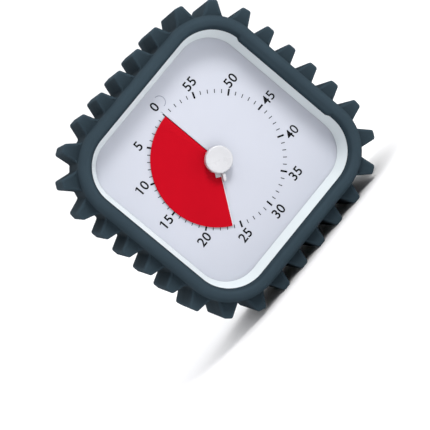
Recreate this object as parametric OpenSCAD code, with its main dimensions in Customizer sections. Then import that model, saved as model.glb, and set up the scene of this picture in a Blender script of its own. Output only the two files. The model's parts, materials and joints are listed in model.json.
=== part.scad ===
// Sixty minute countdown timer: a white battery movement case in a toothed silicone cover.
// X runs to the right of the dial, Y runs from the dial to the back and Z runs up.
// The origin is on the ground, under the middle of the object.

/* [Cover] */
// Half of the cover's width across its flat sides, without the teeth
cover_half = 47; // [47:0.5:50]
// Radius of the cover's outer corners
cover_corner = 22.4; // [22:0.2:24]
// Depth of the cover from its front rim to its back rim
cover_depth = 54; // [54:1:58]
// Thickness of the cover's side walls
cover_wall = 2.3; // [2:0.1:2.4]
// Half width of the cover's front opening
lip_half = 41.5; // [41.4:0.1:42]
// Number of teeth round the cover
tooth_count = 30; // [24:2:32]
// Height of a tooth above the cover's wall
tooth_height = 6.6; // [4:0.2:8]
// Width of a tooth at its tip
tooth_tip = 3.7; // [3:0.1:5]
// Width of a tooth where it leaves the wall
tooth_base = 8; // [6:0.1:9]
// Length of a tooth from front to back
tooth_length = 45; // [40:1:46]
// How far the first tooth is past the top right corner, as a part of the tooth spacing
tooth_phase = 0.21; // [0:0.01:1]

/* [Case] */
// Half of the white case's width
case_half = 44.5; // [44:0.1:44.5]
// Thickness of the case's walls
case_wall = 2.2; // [2:0.1:2.4]
// Half width of the bezel's opening where it meets the dial
bezel_half = 38.9; // [38:0.1:39.5]
// How far the dial lies behind the cover's front rim
dial_recess = 14.5; // [14:0.5:15]
// Thickness of the dial plate
dial_thickness = 1.2; // [1:0.1:1.4]
// Distance of each case screw from the middle, across and up
screw_spread = 34; // [33.5:0.1:34.2]

/* [Dial] */
// Radius of the red disk
disk_radius = 27.3; // [25:0.1:27.5]
// Thickness of the red disk's film
disk_thickness = 0.25; // [0.2:0.05:0.4]
// Minutes shown on the dial in the stored pose
shown_minutes = 23.8; // [10:0.1:50]
// Radius of the setting knob
knob_radius = 5.6; // [5:0.1:6]
// How far the knob's face stands in front of the dial
knob_height = 5.6; // [5:0.1:7]
// Distance from the knob's axis to the pointer's tip
pointer_reach = 9.2; // [8:0.1:12]
// Radius of the shaft that carries the knob
shaft_radius = 1.5; // [1.4:0.1:1.6]
// Gap between a shaft and the hole that it turns in
running_gap = 0.05; // [0.02:0.01:0.1]

/* [Gear train] */
// Gear module of the minute wheel and its pinion
slow_module = 0.35; // [0.34:0.01:0.36]
// Gear module of the faster wheels
fast_module = 0.3; // [0.29:0.01:0.3]
// Part of each gear tooth's thickness that is left out as play
tooth_play = 0.15; // [0.1:0.01:0.2]
// Radius of the small wheels' axles
axle_radius = 0.4; // [0.3:0.05:0.5]

/* [Battery] */
// Radius of the battery
battery_radius = 7.2; // [7:0.05:7.25]
// Length of the battery's body
battery_length = 49; // [48.5:0.5:49.5]
// Width of the battery door
door_width = 58.8; // [58:0.1:59]
// Height of the battery door above its hinge line
door_height = 23.7; // [23:0.1:23.8]

/* [Hidden] */
$fn = 48;
overcut = 1;

silicone_grey = "#37464f";
case_white = "#e3e8ea";
dial_white = "#dde2ec";
disk_red = "#cc1124";
steel = "#b9bcc0";
brass = "#c8a552";
copper = "#b5693a";
board_green = "#2f6b45";
dark_plastic = "#2a2c2e";
pale_plastic = "#d8d3c0";

core = cover_half - cover_corner;
centre_z = cover_half + tooth_height;
front_y = -cover_depth / 2;
back_y = cover_depth / 2;
case_corner = case_half - core;
case_front_y = front_y + 4.1;
case_back_y = back_y - 0.8;
case_split_y = 4;
inner_corner = case_corner - case_wall;
back_wall_y = case_back_y - case_wall;
dial_y = front_y + dial_recess;
dial_back_y = dial_y + dial_thickness;
bezel_corner = bezel_half - core;
lip_corner = lip_half - core;

// ---------- shared shapes ----------

// Square with round corners, with its sides r out from the core square
module rounded_square(r) {
    square([2 * core, 2 * (core + r)], center = true);
    square([2 * (core + r), 2 * core], center = true);
    for (x = [-core, core])
        for (z = [-core, core])
            translate([x, z]) circle(r = r, $fn = 96);
}

// Turns a child drawn in front view, with its third axis towards the viewer, to face forwards from depth y
module facing_front(y) {
    translate([0, y, centre_z]) rotate([90, 0, 0]) children();
}

// Front view shape carried back from one depth to another
module slab(from_y, to_y) {
    facing_front(to_y) linear_extrude(height = to_y - from_y) children();
}

// Rectangle in front view, between two opposite corners
module panel(low, high) {
    translate(low) square([high[0] - low[0], high[1] - low[1]]);
}

// Round bar along the depth, at a place in front view
module bar(from_y, to_y, r, place = [0, 0]) {
    facing_front(to_y) translate([place[0], place[1], 0]) cylinder(r = r, h = to_y - from_y);
}

// Frustum with round corners that narrows evenly along the depth
module rounded_frustum(from_y, to_y, from_r, to_r) {
    depth = to_y - from_y;
    profile = [[-core - to_r, 0], [core + to_r, 0], [core + from_r, depth], [-core - from_r, depth]];
    facing_front(to_y) {
        for (turn = [0, 90])
            rotate([0, 0, turn]) translate([0, core, 0]) rotate([90, 0, 0])
                linear_extrude(height = 2 * core) polygon(profile);
        for (x = [-core, core])
            for (z = [-core, core])
                translate([x, z, 0]) cylinder(r1 = to_r, r2 = from_r, h = depth, $fn = 96);
    }
}

// Unit vector along a run of points at one of them, halfway between the runs before and after it
function heading(points, i) =
    let (run = points[min(i + 1, len(points) - 1)] - points[max(i - 1, 0)]) run / norm(run);

// Round wire through a list of points; no run of it may lie along the vector "aside"
module wire(points, r, aside) {
    sides = 8;
    last = len(points) - 1;
    corners = [for (i = [0:last])
        let (ahead = heading(points, i), across = cross(ahead, aside), u = across / norm(across), v = cross(ahead, u))
            for (k = [0:sides - 1]) points[i] + r * (u * cos(360 * k / sides) + v * sin(360 * k / sides))];
    walls = [for (i = [0:last - 1]) for (k = [0:sides - 1])
        let (a = sides * i + k, b = sides * i + (k + 1) % sides)
            for (wall = [[a, a + sides, b + sides], [a, b + sides, b]]) wall];
    start_cap = [for (k = [0:sides - 1]) k];
    end_cap = [for (k = [0:sides - 1]) sides * last + sides - 1 - k];
    polyhedron(points = corners, faces = concat([start_cap, end_cap], walls), convexity = 10);
}

// ---------- silicone cover ----------

quarter_length = 2 * core + PI / 2 * cover_corner;
tooth_pitch = 4 * quarter_length / tooth_count;
tooth_front_y = front_y + 6.2;
tooth_sink = 1.2;
rim_depth = 2.4;
rim_inset = 1.5;

// Places a child that points along +X on the cover's outline, a distance clockwise from the top right corner
module on_outline(distance) {
    quarter = floor(distance / quarter_length);
    along = distance - quarter * quarter_length;
    half_arc = PI / 4 * cover_corner;
    to_degrees = 180 / PI / cover_corner;
    rotate(-90 * quarter)
        if (along < half_arc)
            translate([core, core]) rotate(45 - along * to_degrees) translate([cover_corner, 0]) children();
        else if (along < half_arc + 2 * core)
            translate([core + cover_corner, core - along + half_arc]) children();
        else
            translate([core, -core]) rotate((half_arc + 2 * core - along) * to_degrees)
                translate([cover_corner, 0]) children();
}

module tooth_profile() {
    polygon([[-tooth_sink, -tooth_base / 2], [0, -tooth_base / 2], [tooth_height, -tooth_tip / 2],
        [tooth_height, tooth_tip / 2], [0, tooth_base / 2], [-tooth_sink, tooth_base / 2]]);
}

module sprocket_cover() color(silicone_grey) {
    difference() {
        union() {
            slab(front_y + rim_depth, back_y) rounded_square(cover_corner);
            rounded_frustum(front_y, front_y + rim_depth, cover_corner - rim_inset, cover_corner);
            slab(tooth_front_y, tooth_front_y + tooth_length)
                for (i = [0:tooth_count - 1])
                    on_outline((i + tooth_phase) * tooth_pitch) tooth_profile();
        }
        slab(case_front_y - 0.1, back_y + overcut) rounded_square(cover_corner - cover_wall);
        slab(front_y - overcut, back_y) rounded_square(lip_corner);
    }
}

// ---------- case ----------

screw_radius = 1.5;
screw_head_radius = 2.7;
screw_head_y = case_back_y - 3.6;
screw_tip_y = -8;
boss_radius = 3.6;
screw_places = [for (x = [-1, 1]) for (z = [-1, 1]) [x * screw_spread, z * screw_spread]];

module front_housing() color(case_white) {
    difference() {
        slab(case_front_y, case_split_y) rounded_square(case_corner);
        rounded_frustum(case_front_y - overcut, dial_y, lip_corner + 1.3, bezel_corner);
        slab(dial_y, case_split_y + overcut) rounded_square(inner_corner);
    }
    difference() {
        for (place = screw_places) {
            bar(dial_back_y, case_split_y, boss_radius, place);
            slab(dial_back_y, case_split_y)
                translate(place) rotate(atan2(place[1], place[0])) panel([0, -1], [5.2, 1]);
        }
        for (place = screw_places)
            bar(screw_tip_y - 0.5, case_split_y + overcut, screw_radius + running_gap, place);
    }
}

// Battery bay, measured from the middle of the case
bay_left = -28;
bay_right = 28;
bay_low = -33.5;
bay_high = -16.5;
bay_front_y = 8.2;
bay_wall = 1.4;
hinge_z = -36.7;
door_y = case_back_y - 2;
door_gap = 0.3;
door_top = hinge_z + door_height;
door_half = door_width / 2;
knuckle_radius = 1;
hinge_y = case_back_y - knuckle_radius;
hinge_pin_radius = 0.7;
hinge_pin_reach = 1.5;
tongue_half = 5;
tongue_length = 1.9;

grille_centre = [-22, 22];
grille_spacing = 3.3;
grille_hole = 0.9;
switch_centre = [22, 24];
switch_travel = 4;

module sounder_grille() {
    bar(back_wall_y - overcut, case_back_y + overcut, grille_hole, grille_centre);
    for (ring = [1:2])
        for (i = [0:6 * ring - 1])
            bar(back_wall_y - overcut, case_back_y + overcut, grille_hole, grille_centre
                + ring * grille_spacing * [cos(60 * i / ring), sin(60 * i / ring)]);
}

module battery_bay() {
    low = [bay_left, bay_low];
    high = [bay_right, bay_high];
    wall = [bay_wall, bay_wall];
    difference() {
        union() {
            slab(bay_front_y - bay_wall, back_wall_y) panel(low - wall, high + wall);
            slab(back_wall_y - 1.5, back_wall_y) panel([-31, hinge_z - 2.5], [31, door_top + 2]);
        }
        slab(bay_front_y, back_wall_y + overcut) panel(low, high);
        for (side = [-1, 1])
            slab(bay_front_y - bay_wall - overcut, bay_front_y + overcut)
                panel([side * contact_x - 0.5, battery_z - 2], [side * contact_x + 0.5, battery_z + 2]);
    }
}

module door_opening() {
    slab(back_wall_y, case_back_y + overcut) {
        panel([-door_half - door_gap, hinge_z - 1.6], [door_half + door_gap, door_top + door_gap]);
        panel([-tongue_half - door_gap, door_top], [tongue_half + door_gap, door_top + tongue_length + door_gap]);
    }
    translate([-door_half - hinge_pin_reach - 0.2, hinge_y, centre_z + hinge_z]) rotate([0, 90, 0])
        cylinder(r = hinge_pin_radius + running_gap, h = door_width + 2 * hinge_pin_reach + 0.4);
}

module rear_housing() color(case_white) {
    difference() {
        union() {
            difference() {
                slab(case_split_y, case_back_y) rounded_square(case_corner);
                slab(case_split_y - overcut, back_wall_y) rounded_square(inner_corner);
            }
            for (place = screw_places)
                bar(case_split_y, back_wall_y, boss_radius, place);
            battery_bay();
        }
        for (place = screw_places) {
            bar(case_split_y - overcut, case_back_y, screw_radius + 0.25, place);
            bar(screw_head_y, case_back_y + overcut, screw_head_radius + 0.3, place);
        }
        door_opening();
        sounder_grille();
        slab(back_wall_y - overcut, case_back_y + overcut)
            panel(switch_centre - [5, 2.1], switch_centre + [5, 2.1]);
    }
}

module housing_screws() color(steel) {
    for (place = screw_places)
        difference() {
            union() {
                bar(screw_tip_y, screw_head_y, screw_radius, place);
                bar(screw_head_y, screw_head_y + 1.8, screw_head_radius, place);
            }
            slab(screw_head_y + 0.8, screw_head_y + 1.8 + overcut)
                translate(place) for (turn = [0, 90]) rotate(turn) square([3.2, 0.7], center = true);
        }
}

module battery_door() color(case_white) {
    slab(door_y, case_back_y) {
        panel([-door_half, hinge_z], [door_half, door_top]);
    }
    slab(door_y, door_y + 1.4) panel([-tongue_half, door_top], [tongue_half, door_top + tongue_length]);
    translate([-door_half, hinge_y, centre_z + hinge_z]) rotate([0, 90, 0])
        cylinder(r = knuckle_radius, h = door_width);
    translate([-door_half - hinge_pin_reach, hinge_y, centre_z + hinge_z]) rotate([0, 90, 0])
        cylinder(r = hinge_pin_radius, h = door_width + 2 * hinge_pin_reach);
}

// ---------- dial ----------

post_radius = 2.2;
post_hole_depth = 2.6;
post_screw_radius = 0.85;
post_places = [[-30.5, -12], [30.5, -12], [-30.5, 19], [30.5, 19]];
plate_y = -9;
plate_back_y = plate_y + 1.2;
hub_radius = 2.8;
film_gap = 0.5;
slit_half = disk_thickness / 2 + 0.18;
disk_front_y = dial_y - film_gap - disk_thickness;
disk_rear_y = dial_back_y + film_gap;
hub_back_y = disk_rear_y + 1;
shown_angle = shown_minutes * 6;
knob_back_y = dial_y - 1.5;
knob_socket = 2.4;
knob_face_y = dial_y - knob_height;

module dial_plate() color(dial_white) {
    difference() {
        slab(dial_y, dial_back_y) rounded_square(inner_corner - 0.3);
        bar(dial_y - overcut, dial_back_y + overcut, hub_radius + 0.4);
        slab(dial_y - overcut, dial_back_y + overcut) panel([-slit_half, 0], [slit_half, disk_radius + 1.4]);
    }
    difference() {
        for (place = post_places)
            bar(dial_back_y, plate_y, post_radius, place);
        for (place = post_places)
            bar(plate_y - post_hole_depth, plate_y + overcut, post_screw_radius + running_gap, place);
    }
}

// Ring sector with its front face at a depth, from one dial angle to another, counted anticlockwise from the top
module disk_sector(y, from_angle, to_angle) {
    facing_front(y + disk_thickness) rotate([0, 0, 90 + from_angle])
        rotate_extrude(angle = to_angle - from_angle, $fn = 96)
            translate([hub_radius + 0.1, 0]) square([disk_radius - hub_radius - 0.1, disk_thickness]);
}

module red_disk() color(disk_red) {
    disk_sector(disk_front_y, 0, shown_angle);
    disk_sector(disk_rear_y, shown_angle, 360);
    slab(disk_front_y, disk_rear_y + disk_thickness)
        panel([-disk_thickness / 2, hub_radius + 0.2], [disk_thickness / 2, disk_radius]);
}

module disk_hub() color(case_white) {
    difference() {
        union() {
            bar(knob_back_y + 0.1, hub_back_y, hub_radius);
            bar(knob_back_y + 0.1, disk_front_y, 4.6);
            slab(knob_back_y + 0.1, disk_front_y) rotate(90 + shown_angle) panel([3.5, -2.4], [7, -0.1]);
        }
        bar(knob_back_y - overcut, hub_back_y + overcut, shaft_radius + 0.02);
    }
}

module set_knob() color(case_white) {
    rim = 0.5;
    difference() {
        union() {
            facing_front(knob_back_y) rotate_extrude($fn = 96)
                polygon([[0, 0], [knob_radius, 0], [knob_radius, knob_back_y - knob_face_y - rim],
                    [knob_radius - 0.15, knob_back_y - knob_face_y - 0.15],
                    [knob_radius - rim, knob_back_y - knob_face_y], [0, knob_back_y - knob_face_y]]);
            slab(knob_face_y + 1.8, knob_back_y) rotate(90 + shown_angle) panel([4, -0.1], [pointer_reach, 1.2]);
        }
        facing_front(knob_face_y) translate([0, 0, 29.6]) sphere(r = 30, $fn = 96);
        bar(knob_back_y - knob_socket, knob_back_y + overcut, shaft_radius + 0.02);
    }
}

module dial_shaft() color(steel) {
    bar(knob_back_y - knob_socket + 0.1, box_inner_y - 0.2, shaft_radius);
    bar(clutch_y + 0.4, clutch_y + 1, 2 * shaft_radius);
}

// ---------- movement ----------

// Wheel teeth, then the places of the axles, found from each pair's pitch radii and a chosen direction
minute_teeth = 60;
third_teeth = 64;
seconds_teeth = 60;
intermediate_teeth = 50;
small_pinion = 8;
large_pinion = 10;

function beside(place, module_size, teeth_a, teeth_b, direction) =
    place + module_size * (teeth_a + teeth_b) / 2 * [cos(direction), sin(direction)];
function meshed_turn(teeth_a, turn_a, direction, teeth_b) =
    direction + 180 + 180 / teeth_b - (turn_a - direction) * teeth_a / teeth_b;

to_third = 200;
to_seconds = 100;
to_intermediate = 30;
to_rotor = 0;
third_place = beside([0, 0], slow_module, minute_teeth, small_pinion, to_third);
seconds_place = beside(third_place, fast_module, third_teeth, small_pinion, to_seconds);
intermediate_place = beside(seconds_place, fast_module, seconds_teeth, large_pinion, to_intermediate);
rotor_place = beside(intermediate_place, fast_module, intermediate_teeth, large_pinion, to_rotor);
third_turn = meshed_turn(minute_teeth, 0, to_third, small_pinion);
seconds_turn = meshed_turn(third_teeth, third_turn, to_seconds, small_pinion);
intermediate_turn = meshed_turn(seconds_teeth, seconds_turn, to_intermediate, large_pinion);
rotor_turn = meshed_turn(intermediate_teeth, intermediate_turn, to_rotor, large_pinion);

pressure_angle = 20;
wheel_addendum = 0.9;
pinion_addendum = 0.8;

// Involute angle, in degrees, of a flank at radius r on a base circle
function involute(base, r) =
    let (t = sqrt(max(pow(r / base, 2) - 1, 0))) t * 180 / PI - atan(t);

// Half of a gear tooth's angle at radius r
function half_tooth(teeth, pitch_r, base, r) =
    90 / teeth * (1 - tooth_play) + involute(base, pitch_r) - involute(base, max(r, base));

// Outline of a spur gear whose first tooth points along +X
function gear_outline(teeth, size, addendum) =
    let (
        pitch_r = teeth * size / 2,
        base = pitch_r * cos(pressure_angle),
        tip_r = pitch_r + addendum * size,
        root_r = pitch_r - 1.2 * size,
        radii = [root_r, max(base, root_r + 0.15 * size), (pitch_r + tip_r) / 2, tip_r],
        flank = [for (r = radii) [r, half_tooth(teeth, pitch_r, base, r)]]
    )
    [for (i = [0:teeth - 1])
        for (side = [-1, 1])
            for (k = [0:3])
                let (point = side < 0 ? flank[k] : flank[3 - k], angle = 360 * i / teeth + side * point[1])
                    point[0] * [cos(angle), sin(angle)]];

// Toothed wheel at a place and turn in front view, with round holes between its rim and its hub
module gear(place, turn, teeth, size, addendum, from_y, to_y, hole_ring = 0, hole_r = 0) {
    difference() {
        slab(from_y, to_y) translate(place) rotate(turn) polygon(gear_outline(teeth, size, addendum));
        if (hole_r > 0)
            for (i = [0:4])
                bar(from_y - overcut, to_y + overcut, hole_r,
                    place + hole_ring * [cos(72 * i + turn), sin(72 * i + turn)]);
    }
}

axle_front_y = plate_y + 0.4;
axle_back_y = 5.6;
box_low = [-28, -16];
box_high = [28, 23];
box_wall = [1.2, 1.2];
box_back_y = 6;
box_inner_y = box_back_y - 1.2;
bearing_y = 3.2;
plate_low = [-33, -16];
plate_high = [33, 23];
peg_places = [[24, -12], [24, 19]];
peg_height = 1;
axle_places = [third_place, seconds_place, intermediate_place, rotor_place];

module movement_plate() color(pale_plastic) {
    difference() {
        union() {
            slab(plate_y, plate_back_y) panel(plate_low, plate_high);
            for (place = peg_places)
                bar(plate_back_y, plate_back_y + peg_height, 1.5, place);
        }
        bar(plate_y - overcut, plate_back_y + overcut, shaft_radius + running_gap);
        for (place = axle_places)
            bar(axle_front_y - 0.1, plate_back_y + overcut, axle_radius + running_gap, place);
        for (place = post_places)
            bar(plate_y - overcut, plate_back_y + overcut, 1.1, place);
    }
}

module movement_cover() color(pale_plastic) {
    difference() {
        union() {
            difference() {
                slab(plate_back_y, box_back_y) panel(box_low, box_high);
                slab(plate_back_y - overcut, box_inner_y) panel(box_low + box_wall, box_high - box_wall);
            }
            bar(bearing_y, box_inner_y + 0.2, 2 * shaft_radius);
        }
        bar(bearing_y - overcut, box_inner_y, shaft_radius + running_gap);
        for (place = axle_places)
            bar(box_inner_y - overcut, axle_back_y + 0.1, axle_radius + running_gap, place);
        slab(-6, -3) panel([17, -17], [23, -14]);
    }
}

module movement_screws() color(steel) {
    for (place = post_places) {
        bar(plate_y - post_hole_depth + 0.3, plate_back_y, post_screw_radius, place);
        difference() {
            bar(plate_back_y, plate_back_y + 1.2, 1.9, place);
            slab(plate_back_y + 0.6, plate_back_y + 1.2 + overcut) translate(place) square([2.6, 0.5], center = true);
        }
    }
}

// Front faces of the wheels
wheel_width = 0.9;
collar_width = 0.8;
minute_y = -7;
clutch_y = minute_y + 1;
third_y = -4.8;
seconds_y = -2.6;
intermediate_y = -0.4;
rotor_y = 1;

// Wheel with its pinion, the collar between them and its axle; the pinion meshes with a wheel at driver_y
module train_wheel(place, turn, pinion_teeth, pinion_size, driver_y, wheel_teeth, wheel_y, hole_ring, hole_r) {
    pinion_back_y = wheel_y - collar_width;
    gear(place, turn, pinion_teeth, pinion_size, pinion_addendum, driver_y - 0.3, pinion_back_y);
    gear(place, turn, wheel_teeth, fast_module, wheel_addendum, wheel_y, wheel_y + wheel_width, hole_ring, hole_r);
    bar(pinion_back_y, wheel_y, 0.9, place);
    bar(axle_front_y, axle_back_y, axle_radius, place);
}

module minute_wheel() color(pale_plastic) {
    difference() {
        union() {
            gear([0, 0], 0, minute_teeth, slow_module, wheel_addendum, minute_y, clutch_y, 6.2, 1.9);
            bar(minute_y - 0.5, clutch_y, 2.8);
        }
        bar(minute_y - 0.5 - overcut, clutch_y + overcut, shaft_radius + running_gap);
    }
}

module clutch_spring() color(brass) {
    difference() {
        bar(clutch_y, clutch_y + 0.35, 3.6);
        bar(clutch_y - overcut, clutch_y + 0.35 + overcut, shaft_radius + 0.3);
    }
}

module third_wheel() color(pale_plastic) {
    train_wheel(third_place, third_turn, small_pinion, slow_module, minute_y, third_teeth, third_y, 5.6, 1.8);
}

module seconds_wheel() color(pale_plastic) {
    train_wheel(seconds_place, seconds_turn, small_pinion, fast_module, third_y, seconds_teeth, seconds_y, 5.2, 1.7);
}

module intermediate_wheel() color(pale_plastic) {
    train_wheel(intermediate_place, intermediate_turn, large_pinion, fast_module, seconds_y,
        intermediate_teeth, intermediate_y, 4.5, 1.4);
}

magnet_radius = 2.2;
magnet_length = 2.2;
stator_y = 1.4;
stator_back_y = stator_y + 0.8;
coil_x = 19;
coil_radius = 2.6;
core_half = 1;
arm_x = coil_x - coil_radius - 0.8;
arm_end_x = coil_x - core_half;
low_arm = [-9, -5.5];
high_arm = [16, 20];

module rotor_pinion() color(pale_plastic) {
    gear(rotor_place, rotor_turn, large_pinion, fast_module, pinion_addendum, intermediate_y - 0.3, rotor_y - 0.2);
    bar(axle_front_y, axle_back_y, axle_radius, rotor_place);
}

module rotor_magnet() color(dark_plastic) {
    difference() {
        bar(rotor_y, rotor_y + magnet_length, magnet_radius, rotor_place);
        bar(rotor_y - overcut, rotor_y + magnet_length + overcut, axle_radius, rotor_place);
    }
}

module stator() color(steel) {
    difference() {
        slab(stator_y, stator_back_y) {
            translate(rotor_place) circle(r = 4.6);
            polygon([rotor_place + [3.4, 1.8], [arm_x, high_arm[0]], [arm_end_x, high_arm[0]],
                [arm_end_x, high_arm[1]], [arm_x, high_arm[1]], rotor_place + [-1, 3.6]]);
            polygon([rotor_place + [-1, -3.6], [arm_x, low_arm[0]], [arm_end_x, low_arm[0]],
                [arm_end_x, low_arm[1]], [arm_x, low_arm[1]], rotor_place + [3.4, -1.8]]);
        }
        bar(stator_y - overcut, stator_back_y + overcut, magnet_radius + 0.5, rotor_place);
    }
}

module coil_core() color(steel) {
    slab(stator_y, stator_back_y) panel([arm_end_x, low_arm[0]], [coil_x + core_half, high_arm[1]]);
}

coil_low = centre_z + low_arm[1] + 1;
coil_length = high_arm[0] - low_arm[1] - 2;
coil_y = (stator_y + stator_back_y) / 2;
tube_radius = 1.6;
flange_width = 1;

module coil_bobbin() color(dark_plastic) {
    translate([coil_x, coil_y, coil_low])
        difference() {
            union() {
                cylinder(r = tube_radius, h = coil_length);
                for (z = [0, coil_length - flange_width])
                    translate([0, 0, z]) cylinder(r = coil_radius + 0.2, h = flange_width);
            }
            translate([0, 0, -overcut]) cylinder(r = tube_radius - 0.35, h = coil_length + 2 * overcut);
        }
}

module coil_winding() color(copper) {
    translate([coil_x, coil_y, coil_low + flange_width])
        difference() {
            cylinder(r = coil_radius, h = coil_length - 2 * flange_width);
            translate([0, 0, -overcut]) cylinder(r = tube_radius, h = coil_length + overcut);
        }
}

board_y = plate_back_y + peg_height;
board_back_y = board_y + 1;
crystal_radius = 1.2;

module circuit_board() color(board_green) {
    slab(board_y, board_back_y) panel([12.5, -14.4], [26.4, 21.4]);
}

module quartz_crystal() color(steel) {
    translate([16, board_back_y + crystal_radius, centre_z + 10]) cylinder(r = crystal_radius, h = 7);
}

module control_chip() color(dark_plastic) {
    slab(board_back_y, board_back_y + 1.1) panel([19, -2], [24, 4]);
}

sounder_radius = 11;
sounder_depth = 3;

module sounder() color(dark_plastic) {
    difference() {
        bar(back_wall_y - sounder_depth, back_wall_y, sounder_radius, grille_centre);
        bar(back_wall_y - 1.2, back_wall_y + overcut, sounder_radius - 1.4, grille_centre);
        bar(back_wall_y - sounder_depth + 0.6, back_wall_y + overcut, 1.2, grille_centre);
    }
}

module switch_body() color(dark_plastic) {
    difference() {
        slab(back_wall_y - 7, back_wall_y) panel(switch_centre - [8.5, 5.2], switch_centre + [7.2, 5.2]);
        slab(back_wall_y - 1.4, back_wall_y + overcut)
            panel(switch_centre - [8, 3.9], switch_centre + [6.8, 3.9]);
    }
}

module switch_slider() color(dark_plastic) {
    slab(back_wall_y - 1.2, back_wall_y - 0.2)
        panel(switch_centre + [-6, -3.6], switch_centre + [2, 3.6]);
    slab(back_wall_y - 0.2, back_y - 0.2)
        panel(switch_centre + [-4.6, -1.8], switch_centre + [0.4, 1.8]);
}

// ---------- battery ----------

battery_y = 16;
battery_z = (bay_low + bay_high) / 2;
battery_left = -24;
battery_tip = battery_left + battery_length + 1.3;

module battery() color("#c8872c") {
    translate([battery_left, battery_y, centre_z + battery_z]) rotate([0, 90, 0]) {
        cylinder(r = battery_radius, h = battery_length);
        cylinder(r = 2.6, h = battery_tip - battery_left);
    }
}

contact_x = 27.3;
contact_half = 5;
contact_sheet = 0.25;
tag_half = 1.5;
tag_y = bay_front_y - bay_wall - 1.2;

module contact_plate(side) {
    x = side * contact_x;
    slab(10, 22) panel([x - contact_sheet, battery_z - contact_half], [x + contact_sheet, battery_z + contact_half]);
    slab(tag_y, 10) panel([x - contact_sheet, battery_z - tag_half], [x + contact_sheet, battery_z + tag_half]);
}

module positive_contact() color(steel) {
    contact_plate(1);
    translate([battery_tip, battery_y, centre_z + battery_z]) rotate([0, 90, 0])
        cylinder(r = 2, h = contact_x - contact_sheet - battery_tip);
}

module negative_contact() color(steel) {
    contact_plate(-1);
}

// Point on the conical spring that presses the battery forwards, t running from 0 at the plate to 1
spring_turns = 3.5;
spring_wire = 0.35;
spring_steps = 72;
spring_start = contact_sheet - contact_x;
function spring_point(t) =
    let (r = 4.2 - 2 * t, angle = 360 * spring_turns * t)
        [spring_start + spring_wire + (battery_left - spring_start - 2 * spring_wire) * t,
            battery_y + r * cos(angle), centre_z + battery_z + r * sin(angle)];

module battery_spring() color(steel) {
    wire([for (i = [0:spring_steps]) spring_point(i / spring_steps)], spring_wire, [1, 0, 0]);
}

lead_radius = 0.6;
lead_aside = [0.4, 0.5, -0.8];
lead_y = -4.5;
lead_end_z = centre_z - 13;
solder_y = tag_y - 0.6;
solder_z = centre_z + battery_z;

module positive_lead() color("#b8242a") {
    wire([[contact_x, solder_y, solder_z], [contact_x, 1, solder_z], [22, lead_y, solder_z + 5],
        [22, lead_y, lead_end_z]], lead_radius, lead_aside);
}

module negative_lead() color("#1d1e20") {
    wire([[-contact_x, solder_y, solder_z], [-contact_x, 0, solder_z], [-12, lead_y, solder_z + 3],
        [16, lead_y, solder_z + 4], [18.4, lead_y, solder_z + 8], [18.4, lead_y, lead_end_z]], lead_radius, lead_aside);
}

sprocket_cover();
front_housing();
rear_housing();
housing_screws();
dial_plate();
set_knob();
disk_hub();
red_disk();
dial_shaft();
movement_plate();
movement_cover();
movement_screws();
minute_wheel();
clutch_spring();
third_wheel();
seconds_wheel();
intermediate_wheel();
rotor_pinion();
rotor_magnet();
stator();
coil_core();
coil_bobbin();
coil_winding();
circuit_board();
quartz_crystal();
control_chip();
sounder();
switch_body();
switch_slider();
battery();
positive_contact();
negative_contact();
battery_spring();
positive_lead();
negative_lead();
battery_door();
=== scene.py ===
import json
import math

import bmesh
import bpy
from mathutils import Matrix, Vector


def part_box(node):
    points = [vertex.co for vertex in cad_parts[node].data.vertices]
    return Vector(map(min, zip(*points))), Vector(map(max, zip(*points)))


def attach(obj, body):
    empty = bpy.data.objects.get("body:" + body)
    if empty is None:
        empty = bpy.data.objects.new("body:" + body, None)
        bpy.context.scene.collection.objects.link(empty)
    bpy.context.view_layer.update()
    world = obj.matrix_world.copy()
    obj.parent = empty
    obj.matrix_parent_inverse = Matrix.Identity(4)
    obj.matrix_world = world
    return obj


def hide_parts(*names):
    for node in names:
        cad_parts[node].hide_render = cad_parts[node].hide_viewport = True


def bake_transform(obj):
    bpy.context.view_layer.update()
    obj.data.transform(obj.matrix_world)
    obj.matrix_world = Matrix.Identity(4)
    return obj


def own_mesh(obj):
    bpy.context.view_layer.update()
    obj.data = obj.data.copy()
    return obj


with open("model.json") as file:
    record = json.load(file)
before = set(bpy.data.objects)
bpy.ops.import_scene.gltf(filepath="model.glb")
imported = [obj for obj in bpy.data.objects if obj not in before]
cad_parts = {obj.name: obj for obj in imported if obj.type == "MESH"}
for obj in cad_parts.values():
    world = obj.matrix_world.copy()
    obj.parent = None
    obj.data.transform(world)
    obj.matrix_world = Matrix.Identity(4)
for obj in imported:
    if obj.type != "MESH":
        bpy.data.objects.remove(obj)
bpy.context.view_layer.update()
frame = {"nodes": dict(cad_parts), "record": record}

# ---------- places taken from the frame, in millimetres ----------

MM = 0.001


def box_mm(node):
    """The two corners of a CAD node's box, in millimetres."""
    low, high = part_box(node)
    return low / MM, high / MM


cover_low, cover_high = box_mm("sprocket_cover")
dial_low, _ = box_mm("dial_plate")
case_low, case_high = box_mm("rear_housing")
_, door_high = box_mm("battery_door")
_, slider_high = box_mm("switch_slider")
knob_low, knob_high = box_mm("set_knob")

CENTRE_Z = (cover_low.z + cover_high.z) / 2
FRONT_Y = cover_low.y
BACK_Y = cover_high.y
DIAL_Y = dial_low.y
SPLIT_Y = case_low.y
CASE_HALF = case_high.x
TOOTH_HEIGHT = 6.6
COVER_HALF = cover_high.x - TOOTH_HEIGHT
CORE = 24.6                    # half the straight part of each side
TOOTH_COUNT = 30
TOOTH_PHASE = 0.207            # of a pitch, clockwise from the top right corner
SHOWN_MINUTES = 23.8           # what the timer is set to at rest
SHOWN_ANGLE = math.radians(6 * SHOWN_MINUTES)
FILM_RADIUS = 27.3


def place(x, y, z):
    """A point in metres, from millimetres right of and above the dial's middle."""
    return Vector((x, y, z + CENTRE_Z)) * MM


# ---------- mesh helpers ----------

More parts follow.
